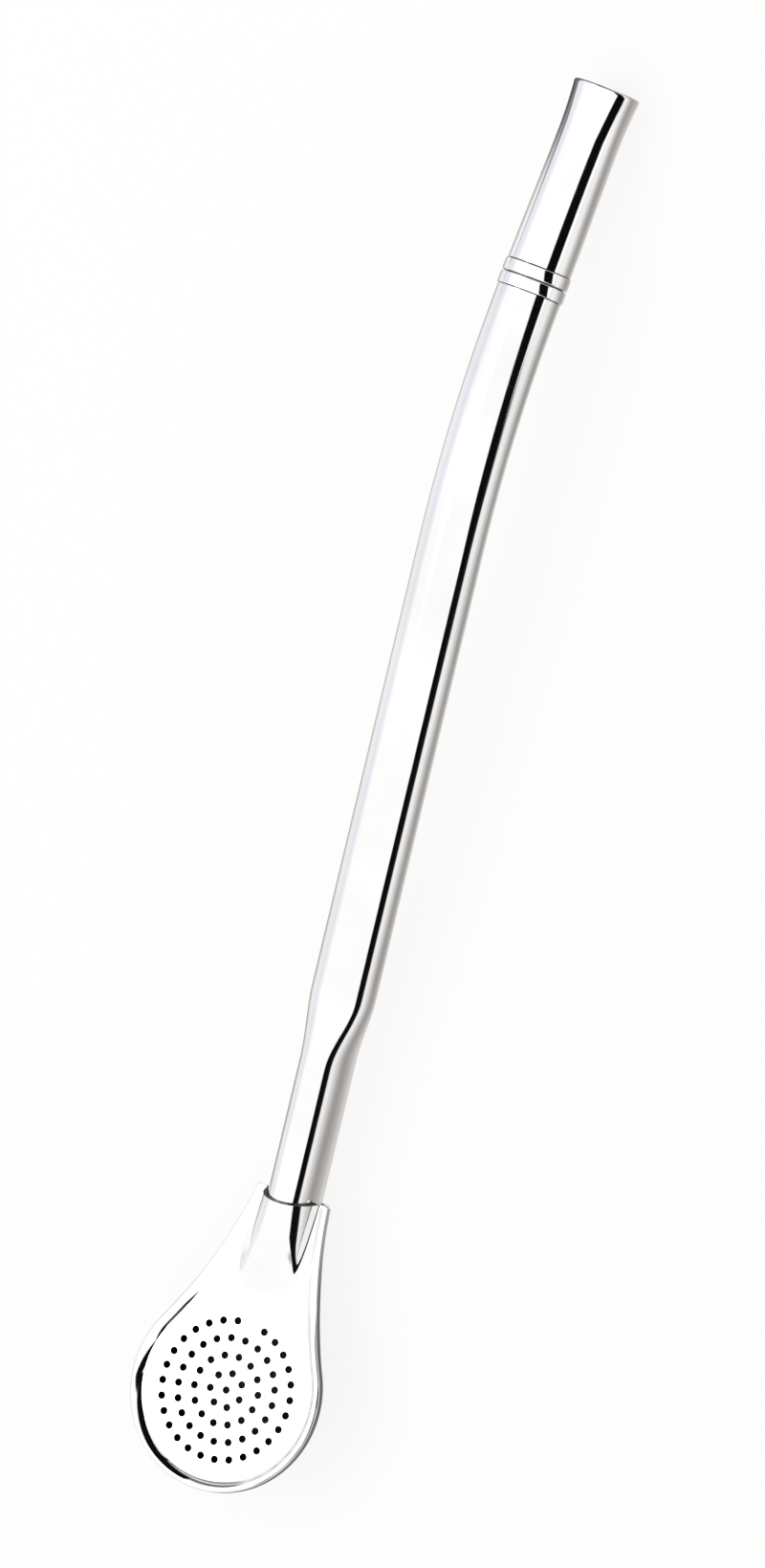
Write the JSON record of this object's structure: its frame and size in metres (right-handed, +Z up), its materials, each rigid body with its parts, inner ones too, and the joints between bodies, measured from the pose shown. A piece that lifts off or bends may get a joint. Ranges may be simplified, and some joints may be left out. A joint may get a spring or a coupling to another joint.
{
  "type": "mate straw",
  "caption": "Polished steel drinking straw for mate, bent near a flared mouthpiece with crowned rings, whose oval foot pushes into a perforated spoon strainer with a beaded rim.",
  "frame": {"origin": "middle of the flattened belly of the strainer's bowl, on the surface that the straw lies on", "axes": "+X along the straw towards the mouthpiece, +Z up with the perforated plate facing up, XZ the plane of symmetry"},
  "size_m": [0.1791, 0.025, 0.0172],
  "materials": {
    "stem_steel": "polished",
    "mouth_steel": "polished",
    "ring_steel": "polished",
    "sleeve_steel": "polished",
    "plate_steel": "polished",
    "bowl_steel": "polished",
    "rim_steel": "polished"
  },
  "bodies": {
    "stem": {"stem_tube": "stem_steel", "mouthpiece": "mouth_steel", "upper_ring": "ring_steel", "lower_ring": "ring_steel", "joint_sleeve": "sleeve_steel"},
    "strainer": {"strainer_plate": "plate_steel", "back_shell": "bowl_steel", "rim_band": "rim_steel"}
  },
  "joints": [
    {"name": "strainer_slide", "type": "slide", "parent": "stem", "child": "strainer", "axis": [-0.9967, 0, -0.0818], "range_m": [0, 0.012]}
  ]
}
